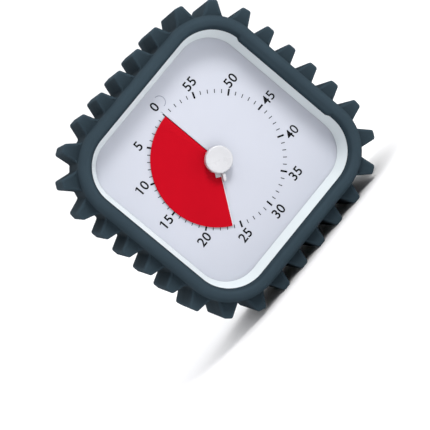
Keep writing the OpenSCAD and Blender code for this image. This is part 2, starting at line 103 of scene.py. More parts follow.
def smooth_step(t):
    """Eases from 0 to 1 as t goes from 0 to 1."""
    t = min(max(t, 0.0), 1.0)
    return t * t * (3 - 2 * t)


def add_mesh(name, vertices, faces, smooth=True):
    """A new mesh object in the scene."""
    mesh = bpy.data.meshes.new(name)
    mesh.from_pydata([tuple(v) for v in vertices], [], faces)
    mesh.validate()
    for polygon in mesh.polygons:
        polygon.use_smooth = smooth
    mesh.update()
    obj = bpy.data.objects.new(name, mesh)
    bpy.context.scene.collection.objects.link(obj)
    return obj


def even_normals(obj):
    """Weights the shading normals by face area."""
    modifier = obj.modifiers.new("even_normals", "WEIGHTED_NORMAL")
    modifier.keep_sharp = True
    return obj


def face_outwards(obj, weld=False):
    """Turns a closed mesh's faces outwards, and merges its coincident points if asked to."""
    mesh = bmesh.new()
    mesh.from_mesh(obj.data)
    if weld:
        bmesh.ops.remove_doubles(mesh, verts=mesh.verts, dist=1e-7)
    bmesh.ops.recalc_face_normals(mesh, faces=mesh.faces)
    mesh.to_mesh(obj.data)
    mesh.free()
    return obj


def piece(obj, body, material, slot, *replaced):
    """Gives a finished mesh its material and lets it ride on a body; its slot is not used."""
    obj.data.materials.clear()
    obj.data.materials.append(material)
    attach(obj, body)
    if replaced:
        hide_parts(*replaced)
    return obj


def loft(rings, closed=False, caps=False):
    """Vertices and faces of a surface through closed rings that all have the same number of points."""
    count = len(rings[0])
    vertices = [point for ring in rings for point in ring]
    faces = []
    spans = len(rings) if closed else len(rings) - 1
    for i in range(spans):
        a = i * count
        b = (i + 1) % len(rings) * count
        for k in range(count):
            j = (k + 1) % count
            faces.append((a + k, a + j, b + j, b + k))
    if caps:
        faces.append(tuple(range(count)))
        faces.append(tuple((len(rings) - 1) * count + k for k in range(count)))
    return vertices, faces


def rounded_path(corners, steps=4, closed=False):
    """Turns (a, b, radius) corners into a path whose corners are round."""
    count = len(corners)
    path = []
    for i, (a, b, radius) in enumerate(corners):
        here = Vector((a, b))
        if radius <= 0 or (not closed and i in (0, count - 1)):
            path.append(here)
            continue
        before = (Vector(corners[i - 1][:2]) - here).normalized()
        after = (Vector(corners[(i + 1) % count][:2]) - here).normalized()
        opening = before.angle(after)
        reach = radius / math.tan(opening / 2)
        start = here + before * reach
        end = here + after * reach
        middle = here + (before + after).normalized() * radius / math.sin(opening / 2)
        first = start - middle
        turn = first.angle_signed(end - middle)
        for k in range(steps + 1):
            angle = -turn * k / steps
            path.append(middle + Matrix.Rotation(angle, 2) @ first)
    return path


# ---------- the rounded square that the case and the cover share ----------

COVER_CORNER = COVER_HALF - CORE
QUARTER = 2 * CORE + math.pi / 2 * COVER_CORNER


def outline(distance):
    """Core point, outward normal and tangent, at a distance clockwise from the top right corner."""
    quarter, along = divmod(distance, QUARTER)
    half_arc = math.pi / 4 * COVER_CORNER
    if along < half_arc:
        core, angle = (CORE, CORE), math.pi / 4 - along / COVER_CORNER
    elif along < half_arc + 2 * CORE:
        core, angle = (CORE, CORE - along + half_arc), 0.0
    else:
        core, angle = (CORE, -CORE), (half_arc + 2 * CORE - along) / COVER_CORNER
    turn = Matrix.Rotation(-math.pi / 2 * (quarter % 4), 2)
    normal = turn @ Vector((math.cos(angle), math.sin(angle)))
    return turn @ Vector(core), normal, Vector((normal.y, -normal.x))


def square_samples(corner_steps=20, side_steps=6):
    """Core points and normals round the rounded square."""
    samples = []
    for corner in range(4):
        turn = Matrix.Rotation(-math.pi / 2 * corner, 2)
        core = turn @ Vector((CORE, CORE))
        following = turn @ Vector((CORE, -CORE))
        for k in range(corner_steps + 1):
            angle = math.pi / 2 * (1 - k / corner_steps)
            samples.append((core, turn @ Vector((math.cos(angle), math.sin(angle)))))
        for k in range(1, side_steps):
            samples.append((core.lerp(following, k / side_steps), turn @ Vector((1, 0))))
    return samples


def swept_square(name, profile):
    """Closed solid whose (half width, depth) profile runs round the rounded square."""
    samples = square_samples()
    rings = []
    for half, y in profile:
        points = [core + (half - CORE) * normal for core, normal in samples]
        rings.append([place(p.x, y, p.y) for p in points])
    return face_outwards(add_mesh(name, *loft(rings, closed=True)))


def lathe(name, profile, steps=64, middle=(0, 0)):
    """Solid turned about a line along the depth, from (radius, depth) points in a loop or ending on it."""
    rings = []
    for radius, y in profile:
        ring = []
        for k in range(steps):
            angle = 2 * math.pi * k / steps
            x = middle[0] + radius * math.cos(angle)
            z = middle[1] + radius * math.sin(angle)
            ring.append(place(x, y, z))
        rings.append(ring)
    is_loop = profile[0][0] > 0 and profile[-1][0] > 0
    return face_outwards(add_mesh(name, *loft(rings, closed=is_loop)), weld=True)


def rounded_bar(corner, opposite, radius, steps=3):
    """Vertices and faces of a box between two points in metres, with all its edges rounded."""
    low = Vector(map(min, corner, opposite))
    high = Vector(map(max, corner, opposite))
    mesh = bmesh.new()
    bmesh.ops.create_cube(mesh, size=1.0)
    for vertex in mesh.verts:
        for axis in range(3):
            vertex.co[axis] = high[axis] if vertex.co[axis] > 0 else low[axis]
    bmesh.ops.bevel(mesh, geom=mesh.edges[:], offset=radius, segments=steps, profile=0.5, affect="EDGES")
    vertices = [v.co.copy() for v in mesh.verts]
    faces = [tuple(v.index for v in f.verts) for f in mesh.faces]
    mesh.free()
    return vertices, faces


def joined(parts):
    """One vertex list and one face list from several."""
    vertices = []
    faces = []
    for part_vertices, part_faces in parts:
        offset = len(vertices)
        vertices += list(part_vertices)
        faces += [tuple(offset + i for i in face) for face in part_faces]
    return vertices, faces


# ---------- materials ----------

def new_material(name):
    """A material with its node tree, its shader and object coordinates."""
    material = bpy.data.materials.new(name)
    material.use_nodes = True
    tree = material.node_tree
    shader = next(n for n in tree.nodes if n.type == "BSDF_PRINCIPLED")
    coordinates = tree.nodes.new("ShaderNodeTexCoord")
    return material, tree, shader, coordinates


def noise(tree, coordinates, scale, detail=3.0):
    """Noise over the object's own space; the scale is per metre."""
    node = tree.nodes.new("ShaderNodeTexNoise")
    node.inputs["Scale"].default_value = scale
    node.inputs["Detail"].default_value = detail
    tree.links.new(coordinates.outputs["Object"], node.inputs["Vector"])
    return node.outputs["Fac"]


def ramp(tree, factor, stops, interpolation="LINEAR"):
    """Colours from a factor, by (position, colour) stops."""
    node = tree.nodes.new("ShaderNodeValToRGB")
    node.color_ramp.interpolation = interpolation
    elements = node.color_ramp.elements
    while len(elements) < len(stops):
        elements.new(0.5)
    for element, (position, colour) in zip(elements, stops):
        element.position = position
        element.color = (*colour, 1)
    tree.links.new(factor, node.inputs["Fac"])
    return node.outputs["Color"]


def spread(tree, factor, low, high):
    """Stretches a noise's usual range over low to high."""
    node = tree.nodes.new("ShaderNodeMapRange")
    node.inputs["From Min"].default_value = 0.3
    node.inputs["From Max"].default_value = 0.7
    node.inputs["To Min"].default_value = low
    node.inputs["To Max"].default_value = high
    tree.links.new(factor, node.inputs["Value"])
    return node.outputs["Result"]


def bump(tree, shader, height, strength, distance):
    """Fine bumps on a shader."""
    node = tree.nodes.new("ShaderNodeBump")
    node.inputs["Strength"].default_value = strength
    node.inputs["Distance"].default_value = distance
    tree.links.new(height, node.inputs["Height"])
    tree.links.new(node.outputs["Normal"], shader.inputs["Normal"])


def shaded(colour, factor):
    """A colour made brighter or darker by a factor."""
    return tuple(min(c * factor, 1.0) for c in colour)


def moulded(name, colour, rough=(0.4, 0.5), variation=0.05, patch=60, grain=2500,
            grain_depth=0.00001, metallic=0.0, coat=0.0, specular=0.5):
    """Material with patchy colour, uneven roughness and a fine surface grain; scales are per metre."""
    material, tree, shader, coordinates = new_material(name)
    patches = noise(tree, coordinates, patch, 4.0)
    stops = [(0.3, shaded(colour, 1 - variation)), (0.7, shaded(colour, 1 + variation))]
    tree.links.new(ramp(tree, patches, stops), shader.inputs["Base Color"])
    tree.links.new(spread(tree, noise(tree, coordinates, patch * 3), *rough), shader.inputs["Roughness"])
    bump(tree, shader, noise(tree, coordinates, grain, 2.0), 0.5, grain_depth)
    shader.inputs["Metallic"].default_value = metallic
    shader.inputs["Coat Weight"].default_value = coat
    shader.inputs["Coat Roughness"].default_value = 0.2
    shader.inputs["Specular IOR Level"].default_value = specular
    return material


def banded(name, first, second, scale, axis, width=0.5, rough=(0.3, 0.4), metallic=0.0, depth=0.0001):
    """Material with round bands along one axis, as on wound wire or a turned face."""
    material, tree, shader, coordinates = new_material(name)
    wave = tree.nodes.new("ShaderNodeTexWave")
    wave.bands_direction = axis
    wave.inputs["Scale"].default_value = scale
    wave.inputs["Distortion"].default_value = 0.0
    tree.links.new(coordinates.outputs["Object"], wave.inputs["Vector"])
    bands = ramp(tree, wave.outputs["Fac"], [(0, first), (width, second)])
    tree.links.new(bands, shader.inputs["Base Color"])
    tree.links.new(spread(tree, noise(tree, coordinates, 800), *rough), shader.inputs["Roughness"])
    bump(tree, shader, wave.outputs["Fac"], 0.6, depth)
    shader.inputs["Metallic"].default_value = metallic
    return material


def silicone_material():
    """Matte silicone: patchy tone, a painted highlight on the outer edges, painted shade in the valleys,
    and a fine grain.
    """
    material, tree, shader, coordinates = new_material("silicone")
    colour = (0.038, 0.059, 0.075)
    stops = [(0.3, shaded(colour, 0.93)), (0.7, shaded(colour, 1.07))]
    patches = ramp(tree, noise(tree, coordinates, 45, 5.0), stops)
    # Painted highlight and shade: pointiness lightens the outer edges and darkens the valleys between the
    # teeth.
    geometry = tree.nodes.new("ShaderNodeNewGeometry")
    edge_light_valley_shade_stops = [(0.42, (0.25, 0.25, 0.25)), (0.5, (0.63, 0.63, 0.63)), (0.56, (1, 1, 1))]
    painted_edge_light_valley_shade = ramp(tree, geometry.outputs["Pointiness"], edge_light_valley_shade_stops)
    blend = tree.nodes.new("ShaderNodeMix")
    blend.data_type = "RGBA"
    blend.blend_type = "MULTIPLY"
    blend.inputs["Factor"].default_value = 1.0
    tree.links.new(patches, blend.inputs["A"])
    tree.links.new(painted_edge_light_valley_shade, blend.inputs["B"])
    tree.links.new(blend.outputs["Result"], shader.inputs["Base Color"])
    tree.links.new(spread(tree, noise(tree, coordinates, 220), 0.5, 0.64), shader.inputs["Roughness"])
    bump(tree, shader, noise(tree, coordinates, 1800, 3.0), 0.45, 0.00002)
    shader.inputs["Specular IOR Level"].default_value = 0.0
    shader.inputs["Metallic"].default_value = 0.08
    return material


def battery_material():
    """Printed jacket: a dark body with a copper end band and bare metal at the caps, along the cell."""
    material, tree, shader, coordinates = new_material("battery_jacket")
    split = tree.nodes.new("ShaderNodeSeparateXYZ")
    tree.links.new(coordinates.outputs["Object"], split.inputs["Vector"])
    low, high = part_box("battery")
    along = tree.nodes.new("ShaderNodeMapRange")
    along.inputs["From Min"].default_value = low.x
    along.inputs["From Max"].default_value = high.x
    tree.links.new(split.outputs["X"], along.inputs["Value"])
    stops = [
        (0.0, (0.5, 0.5, 0.5)),
        (0.02, (0.02, 0.02, 0.022)),
        (0.66, (0.5, 0.22, 0.04)),
        (0.965, (0.55, 0.55, 0.55)),
    ]
    bands = ramp(tree, along.outputs["Result"], stops, "CONSTANT")
    tree.links.new(bands, shader.inputs["Base Color"])
    tree.links.new(spread(tree, noise(tree, coordinates, 300), 0.25, 0.35), shader.inputs["Roughness"])
    bump(tree, shader, noise(tree, coordinates, 500), 0.2, 0.00001)
    shader.inputs["Metallic"].default_value = 0.6
    return material


def board_material():
    """Green solder resist over darker copper areas, with small bright pads."""
    material, tree, shader, coordinates = new_material("board_green")
    cells = tree.nodes.new("ShaderNodeTexVoronoi")
    cells.distance = "CHEBYCHEV"
    cells.inputs["Scale"].default_value = 350
    tree.links.new(coordinates.outputs["Object"], cells.inputs["Vector"])
    pad = (0.55, 0.5, 0.4)
    stops = [(0.0, pad), (0.12, pad), (0.14, (0.02, 0.13, 0.05)), (0.5, (0.035, 0.19, 0.08))]
    tree.links.new(ramp(tree, cells.outputs["Distance"], stops), shader.inputs["Base Color"])
    tree.links.new(spread(tree, noise(tree, coordinates, 400), 0.3, 0.42), shader.inputs["Roughness"])
    bump(tree, shader, cells.outputs["Distance"], 0.4, 0.00005)
    return material


METAL_LOOK = dict(grain=3000, grain_depth=0.000006, metallic=1.0)
INK_LOOK = dict(rough=(0.5, 0.6), variation=0.2, patch=900, grain=5000, grain_depth=0.000002,
                specular=0.1)
LINE_LOOK = dict(patch=900, grain=5000, grain_depth=0.000002)

materials = {
    "silicone": silicone_material(),
    "board_green": board_material(),
    "battery_jacket": battery_material(),
    "core_steel": banded("core_steel", (0.35, 0.35, 0.36), (0.5, 0.5, 0.51), 900, "Y",
                         width=0.6, rough=(0.3, 0.45), metallic=1.0, depth=0.00004),
    "copper_wire": banded("copper_wire", (0.22, 0.06, 0.02), (0.55, 0.2, 0.08), 1600, "Z",
                          rough=(0.25, 0.35), metallic=0.8),
    "white_case": moulded("white_case", (0.64, 0.695, 0.71), rough=(0.34, 0.44),
                          variation=0.015, patch=40, grain=1600, grain_depth=0.000008),
    "dial_white": moulded("dial_white", (0.467, 0.488, 0.552), rough=(0.42, 0.5),
                          variation=0.012, patch=30, grain=2200, grain_depth=0.000004),
    "knob_white": moulded("knob_white", (0.49, 0.495, 0.515), rough=(0.26, 0.34),
                          variation=0.012, patch=80, grain=2000, grain_depth=0.000004, coat=0.1),
    "red_film": moulded("red_film", (0.405, 0.0017, 0.0095), rough=(0.45, 0.53),
                        variation=0.03, patch=50, grain=2600, grain_depth=0.000005, specular=0.03),
    "ink_black": moulded("ink_black", (0.004, 0.004, 0.005), **INK_LOOK),
    "ink_grey": moulded("ink_grey", (0.012, 0.012, 0.015), **INK_LOOK),
    "line_grey": moulded("line_grey", (0.22, 0.24, 0.31), rough=(0.45, 0.55),
                         variation=0.1, **LINE_LOOK),
    "line_white": moulded("line_white", (0.6, 0.58, 0.62), rough=(0.4, 0.5),
                          variation=0.02, **LINE_LOOK),
    "natural_plastic": moulded("natural_plastic", (0.66, 0.62, 0.5), rough=(0.4, 0.52),
                               patch=90, grain=1500),
    "wheel_plastic": moulded("wheel_plastic", (0.7, 0.7, 0.66), rough=(0.35, 0.45),
                             patch=200, grain_depth=0.000006),
    "black_plastic": moulded("black_plastic", (0.02, 0.021, 0.023), rough=(0.4, 0.55),
                             variation=0.15, patch=150, grain=1800),
    "magnet": moulded("magnet", (0.05, 0.05, 0.055), rough=(0.5, 0.65),
                      variation=0.2, patch=900, grain=4000, metallic=0.4),
    "screw_steel": moulded("screw_steel", (0.5, 0.51, 0.53), rough=(0.28, 0.42),
                           variation=0.08, patch=500, **METAL_LOOK),
    "spring_brass": moulded("spring_brass", (0.6, 0.42, 0.14), rough=(0.22, 0.34),
                            variation=0.1, patch=600, **METAL_LOOK),
    "contact_nickel": moulded("contact_nickel", (0.55, 0.54, 0.5), rough=(0.2, 0.32),
                              variation=0.08, patch=500, **METAL_LOOK),
    "lead_red": moulded("lead_red", (0.45, 0.015, 0.02), rough=(0.35, 0.45),
                        variation=0.08, patch=400, grain_depth=0.000008),
    "lead_black": moulded("lead_black", (0.012, 0.012, 0.014), rough=(0.35, 0.45),
                          variation=0.15, patch=400, grain_depth=0.000008),
}

for part in frame["record"]["subparts"]:
    node = frame["nodes"][part["node"]]
    node.data.materials.clear()
    node.data.materials.append(materials[part["material_slot"]])


def soften_edges(node, width, angle=35):
    """Rounds a CAD node's sharp edges with modifiers, which leave its mesh as it is."""
    obj = frame["nodes"][node]
    weld = obj.modifiers.new("weld", "WELD")
    weld.merge_threshold = 1e-6
    bevel = obj.modifiers.new("soft_edges", "BEVEL")
    bevel.width = width * MM
    bevel.segments = 2
    bevel.limit_method = "ANGLE"
    bevel.angle_limit = math.radians(angle)
    bevel.use_clamp_overlap = True
    even_normals(obj)
    for polygon in obj.data.polygons:
        polygon.use_smooth = True


# ---------- silicone cover ----------

LIP_INNER_HALF = 41.2
LIP_ENDS_HALF = 42.6
CAVITY_HALF = COVER_HALF - 2.3
ROLL_Y = FRONT_Y + 4.6
TOOTH_FRONT_Y = FRONT_Y + 6.2
TOOTH_BACK_Y = TOOTH_FRONT_Y + 45
TOOTH_TIP = 3.7
TOOTH_BASE = 8.0
END_ROUNDING = 0.8
PITCH = 4 * QUARTER / TOOTH_COUNT


def tooth_section():
    """(along, height) points from one valley's middle over a tooth to the next valley's middle."""
    half = rounded_path([
        (PITCH / 2, 0, 0),
        (TOOTH_BASE / 2, 0, 1.4),
        (TOOTH_TIP / 2, TOOTH_HEIGHT, 1.15),
        (0, TOOTH_HEIGHT, 0),
    ], steps=5)
    flank_low = half[6]
    flank_high = half[7]
    flank = [flank_low.lerp(flank_high, k / 4) for k in range(1, 4)]
    half = half[:7] + flank + half[7:]
    left = [Vector((-p.x, p.y)) for p in half]
    return left + half[-2:0:-1]


def lip_sag(core, normal, half):
    """How far the soft lip is drawn in: it hangs over the bezel on the right, and stands back elsewhere."""
    at_lip = smooth_step((LIP_ENDS_HALF - half) / 0.8)
    if normal.x <= 0:
        return -0.2 * at_lip
    along = core.y + COVER_CORNER * math.atan2(normal.y, normal.x)
    hanging = smooth_step((CORE + 1.9 - along) / 2.3) * smooth_step((CORE - 1.5 + along) / 2.3)
    return (0.8 * hanging - 0.2) * at_lip


def cover_ring(half, y, growth, inset, section):
    """Ring of the cover at one depth, with its teeth grown by a share and drawn in by an inset."""
    ring = []
    for i in range(TOOTH_COUNT):
        middle = (i + TOOTH_PHASE) * PITCH
        core, normal, tangent = outline(middle)
        base = core + (half - CORE) * normal
        for along, height in section:
            solid = smooth_step(height / 1.0)
            u = along * (1 - inset * solid / 2.6)
            v = growth * max(height - inset * smooth_step(height / 3.0), 0.0)
            local_core, local_normal, _ = outline(middle + u)
            reach = half - lip_sag(local_core, local_normal, half) - CORE + v
            wrapped = local_core + reach * local_normal
            straight = base + u * tangent + v * normal
            point = wrapped.lerp(straight, smooth_step(v / 1.8))
            ring.append(place(point.x, y, point.y))
    return ring


def cover_stations():
    """(half width, depth, growth, inset) of every ring, from the cavity's back edge round to it again."""
    inside = rounded_path([
        (CAVITY_HALF + 0.6, BACK_Y, 0),
        (CAVITY_HALF, BACK_Y - 0.6, 0.3),
        (CAVITY_HALF, FRONT_Y + 4.0, 0.4),
        (LIP_INNER_HALF + 0.8, FRONT_Y + 4.0, 0.15),
        (LIP_INNER_HALF + 0.3, FRONT_Y + 5.2, 0.12),
        (LIP_INNER_HALF, FRONT_Y + 5.0, 0.12),
        (LIP_INNER_HALF, ROLL_Y, 0),
    ], steps=3)
    stations = [(p.x, p.y, 0, 0) for p in inside]
    roll_middle = (LIP_INNER_HALF + COVER_HALF) / 2
    roll_reach = (COVER_HALF - LIP_INNER_HALF) / 2
    for k in range(1, 17):
        angle = math.pi * (1 - k / 16)
        across = math.copysign(abs(math.cos(angle)) ** 0.86, math.cos(angle))
        forward = abs(math.sin(angle)) ** 0.86
        y = ROLL_Y - (ROLL_Y - FRONT_Y) * forward
        stations.append((roll_middle + roll_reach * across, y, 0, 0))
    end = [
        (-0.9, 0.0, 0), (-0.5, 0.025, 0), (-0.22, 0.06, 0), (-0.05, 0.11, 0),
        (0.0, 0.18, 0.15), (0.0, 0.55, 0.8), (0.0, 1.0, 1.0),
        (0.08, 1.0, 0.6), (0.3, 1.0, 0.28), (0.62, 1.0, 0.07), (1.0, 1.0, 0.0),
    ]
    for offset, growth, inset in end:
        depth = offset if offset <= 0 else offset * END_ROUNDING
        stations.append((COVER_HALF, TOOTH_FRONT_Y + depth, growth, inset * END_ROUNDING))
    stations.append((COVER_HALF, (TOOTH_FRONT_Y + TOOTH_BACK_Y) / 2, 1.0, 0.0))
    for offset, growth, inset in reversed(end):
        depth = offset if offset <= 0 else offset * END_ROUNDING
        stations.append((COVER_HALF, TOOTH_BACK_Y - depth, growth, inset * END_ROUNDING))
    rim = rounded_path([
        (COVER_HALF, TOOTH_BACK_Y, 0),
        (COVER_HALF, BACK_Y, 0.8),
        (CAVITY_HALF + 0.6, BACK_Y, 0),
    ], 4)
    return stations + [(p.x, p.y, 0, 0) for p in rim[1:-1]]


section = tooth_section()
rings = [cover_ring(*station, section) for station in cover_stations()]
cover = face_outwards(add_mesh("silicone_cover", *loft(rings, closed=True)))
even_normals(cover)
piece(cover, "cover", materials["silicone"], "silicone", "sprocket_cover")

# ---------- front of the case ----------

BEZEL_HALF = 38.9
BEZEL_RIM_HALF = 42.35
CASE_FRONT_Y = -22.9
CASE_WALL = 2.2
SHADOW_GAP = 0.45
bezel_profile = rounded_path([
    (BEZEL_HALF + 0.1, DIAL_Y - SHADOW_GAP, 0.15),
    (BEZEL_HALF + 0.35, DIAL_Y - SHADOW_GAP - 0.7, 0.2),
    (BEZEL_RIM_HALF, CASE_FRONT_Y, 0.7),
    (CASE_HALF, CASE_FRONT_Y, 1.2),
    (CASE_HALF, SPLIT_Y - 0.15, 0.25),
    (CASE_HALF - CASE_WALL, SPLIT_Y - 0.15, 0.2),
    (CASE_HALF - CASE_WALL, DIAL_Y, 0.1),
    (BEZEL_HALF + 1.6, DIAL_Y, 0.1),
    (BEZEL_HALF + 1.3, DIAL_Y - SHADOW_GAP, 0.1),
], steps=5, closed=True)
case_front = even_normals(swept_square("case_front", bezel_profile))
piece(case_front, "case", materials["white_case"], "white_case", "front_housing")

SCREW_SPREAD = 34.0
boss_profile = [
    (1.6, SPLIT_Y - 0.1),
    (1.6, DIAL_Y + 1.3),
    (3.6, DIAL_Y + 1.3),
    (3.6, SPLIT_Y - 0.3),
    (3.4, SPLIT_Y - 0.1),
]
for number, (across, up) in enumerate([(-1, -1), (-1, 1), (1, -1), (1, 1)], 1):
    middle = (across * SCREW_SPREAD, up * SCREW_SPREAD)
    boss = lathe("screw_boss_%d" % number, boss_profile, 40, middle)
    piece(even_normals(boss), "case", materials["white_case"], "white_case")

# ---------- printing on the dial ----------

INK = 0.03
TICK_OUTER = 29.0


def dial_point(radius, angle, y):
    """Place at a dial angle, counted anticlockwise from the top."""
    return place(-radius * math.sin(angle), y, radius * math.cos(angle))


def tick(minute, inner, outer, width):
    """Thin raised bar along a radius."""
    angle = math.radians(6 * minute)
    along = Vector((-math.sin(angle), 0, math.cos(angle)))
    aside = Vector((math.cos(angle), 0, math.sin(angle)))
    vertices = []
    for y in (DIAL_Y + 0.01, DIAL_Y - INK):
        for radius, side in ((inner, -1), (inner, 1), (outer, 1), (outer, -1)):
            flat = along * radius + aside * side * width / 2
            vertices.append(place(flat.x, y, flat.z))
    faces = [(0, 1, 2, 3), (7, 6, 5, 4), (0, 4, 5, 1), (1, 5, 6, 2), (2, 6, 7, 3), (3, 7, 4, 0)]
    return vertices, faces


long_ticks = [tick(m, TICK_OUTER - 2.8, TICK_OUTER, 0.76) for m in range(0, 60, 5) if m]
short_ticks = [tick(m, TICK_OUTER - 2.1, TICK_OUTER - 0.5, 0.34) for m in range(60) if m % 5]
marks = face_outwards(add_mesh("five_minute_marks", *joined(long_ticks), smooth=False))
piece(marks, "case", materials["ink_black"], "dial_white")
marks = face_outwards(add_mesh("minute_marks", *joined(short_ticks), smooth=False))
piece(marks, "case", materials["ink_grey"], "dial_white")

DIGIT_HEIGHT = 3.9
NUMBER_RADIUS = 32.5


def flag_of_one(left, top):
    """Slanted stroke at the top of a 1, as points and faces in the text's own plane."""
    corners = [
        (left + 0.1 * MM, top),
        (left - 0.85 * MM, top - 0.62 * MM),
        (left - 0.62 * MM, top - 1.0 * MM),
        (left + 0.1 * MM, top - 0.55 * MM),
    ]
    points = [Vector((x, y, z)) for z in (-INK / 2 * MM, INK / 2 * MM) for x, y in corners]
    sides = [(k, (k + 1) % 4, (k + 1) % 4 + 4, k + 4) for k in range(4)]
    return points, [(3, 2, 1, 0), (4, 5, 6, 7)] + sides


def number_mesh(text, radius, angle):
    """Flat numeral, upright on the dial, as vertices and faces."""
    curve = bpy.data.curves.new("numeral", "FONT")
    curve.body = text
    curve.align_x = "CENTER"
    curve.align_y = "CENTER"
    curve.size = DIGIT_HEIGHT / 0.7 * MM
    curve.offset = (0.05 if "4" in text else 0.085) * MM
    curve.extrude = INK / 2 * MM
    curve.space_character = 1.04
    curve.resolution_u = 5
    source = bpy.data.objects.new("numeral", curve)
    bpy.context.scene.collection.objects.link(source)
    bpy.context.view_layer.update()
    evaluated = source.evaluated_get(bpy.context.evaluated_depsgraph_get())
    shape = bpy.data.meshes.new_from_object(evaluated)
    points = [v.co.copy() for v in shape.vertices]
    faces = [tuple(f.vertices) for f in shape.polygons]
    if text.startswith("1"):
        flag_points, flag_faces = flag_of_one(min(p.x for p in points), max(p.y for p in points))
        points, faces = joined([(points, faces), (flag_points, flag_faces)])
    middle_x = (min(p.x for p in points) + max(p.x for p in points)) / 2
    middle_y = (min(p.y for p in points) + max(p.y for p in points)) / 2
    spot = dial_point(radius, angle, DIAL_Y - INK / 2)
    vertices = []
    for p in points:
        vertices.append(Vector((spot.x + p.x - middle_x, spot.y - p.z, spot.z + p.y - middle_y)))
    bpy.data.objects.remove(source)
    bpy.data.curves.remove(curve)
    bpy.data.meshes.remove(shape)
    return vertices, faces


numbers = []
for minute in range(0, 60, 5):
    radius = NUMBER_RADIUS + (0.6 if minute == 0 else 0)
    numbers.append(number_mesh(str(minute), radius, math.radians(6 * minute)))
numerals = add_mesh("minute_numbers", *joined(numbers), smooth=False)
piece(numerals, "case", materials["ink_black"], "dial_white")


def ribbon(points, width, y, thickness=0.02):
    """Flat line through front view points, as vertices and faces."""
    rings = []
    for i, point in enumerate(points):
        ahead = (points[min(i + 1, len(points) - 1)] - points[max(i - 1, 0)]).normalized()
        aside = Vector((-ahead.y, ahead.x)) * width / 2
        left = point + aside
        right = point - aside
        rings.append([
            place(left.x, y, left.y),
            place(right.x, y, right.y),
            place(right.x, y - thickness, right.y),
            place(left.x, y - thickness, left.y),
        ])
    return loft(rings, caps=True)


tab_middle = Vector((3.0, 32.8))
tab_points = []
for k in range(25):
    angle = math.radians(-95 + 185 * k / 24)
    tab_points.append(tab_middle + Vector((2.25 * math.cos(angle), 2.45 * math.sin(angle))))
slit_points = [Vector((0.35, 28.7)), Vector((0.38, 29.1)), Vector((0.3, 29.5)), Vector((0.05, 29.85))]
tab_lines = [ribbon(tab_points, 0.27, DIAL_Y), ribbon(slit_points, 0.2, DIAL_Y)]
tab = add_mesh("tab_outline", *joined(tab_lines))
piece(face_outwards(tab), "case", materials["line_grey"], "dial_white")

# ---------- red film ----------

FILM_THICKNESS = 0.25
FILM_INNER = 3.0
film_front = DIAL_Y - 0.75
FAN_STEPS = 72


def film_offset(angle):
    """How far the film still has to come forward, near the slit that it comes out of."""
    return 0.45 * (1 - smooth_step(angle / math.radians(9)))


def fan(radii, angles, front, thickness, drop):
    """Rings of points for a thin sheet over a sector, each running out along a radius and back."""
    rings = []
    for angle in angles:
        y = front + drop(angle)
        outward = [dial_point(r, angle, y) for r in radii]
        inward = [dial_point(r, angle, y + thickness) for r in reversed(radii)]
        rings.append(outward + inward)
    return rings


film_radii = [FILM_INNER, 5.1, 9, 13, 18, 23, FILM_RADIUS - 0.06, FILM_RADIUS]
film_angles = [SHOWN_ANGLE * k / FAN_STEPS for k in range(FAN_STEPS + 1)]
film_rings = fan(film_radii, film_angles, film_front, FILM_THICKNESS, film_offset)
film = face_outwards(add_mesh("red_film", *loft(film_rings, caps=True)))
film.data.materials.append(materials["red_film"])
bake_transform(film)
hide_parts("red_disk")

GAP_HALF = 0.36                # keeps the two edges of the hidden sheet apart
BEHIND_STEPS = 144
behind_radii = film_radii[1:]
behind_path = [(0.0, r) for r in behind_radii] + [(0.2, r) for r in reversed(behind_radii)]
behind_rings = []
for step in range(BEHIND_STEPS + 1):
    ring = []
    for side, radius in behind_path:
        gap = math.asin(GAP_HALF / radius)
        angle = SHOWN_ANGLE + gap + (2 * math.pi - 2 * gap) * step / BEHIND_STEPS
        ring.append(dial_point(radius, angle, DIAL_Y + 3.0 + side))
    behind_rings.append(ring)
hidden_film = face_outwards(add_mesh("red_film_behind", *loft(behind_rings, caps=True)))
piece(hidden_film, "dial", materials["red_film"], "red_film")
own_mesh(hidden_film)


def on_edge(along, aside):
    """Front view place beside the film's leading edge; aside is positive towards more minutes."""
    ahead = Vector((-math.sin(SHOWN_ANGLE), math.cos(SHOWN_ANGLE)))
    across = Vector((-math.cos(SHOWN_ANGLE), -math.sin(SHOWN_ANGLE)))
    return ahead * along + across * aside


edge_points = [on_edge(r, 0.0) for r in (5.0, 12.0, 20.0, FILM_RADIUS)]
edge_ribbon = ribbon(edge_points, 0.26, film_front + 0.24, 0.27)
edge_line = face_outwards(add_mesh("film_edge_line", *edge_ribbon, smooth=False))
piece(edge_line, "dial", materials["line_white"], "red_film")

# ---------- knob and pointer ----------

KNOB_RADIUS = 5.6
knob_face_y = knob_low.y
knob_back_y = knob_high.y
knob_profile = rounded_path([
    (0.0, knob_face_y + 0.4, 0),
    (2.6, knob_face_y + 0.32, 2.0),
    (4.6, knob_face_y, 0.5),
    (KNOB_RADIUS, knob_face_y, 0.55),
    (KNOB_RADIUS, knob_back_y, 0.15),
    (1.6, knob_back_y, 0.1),
    (1.6, knob_back_y - 2.3, 0.1),
    (0.0, knob_back_y - 2.3, 0),
], steps=5)
knob = even_normals(lathe("setting_knob", [(max(p.x, 0), p.y) for p in knob_profile], 96))
piece(knob, "dial", materials["knob_white"], "knob_white", "set_knob")

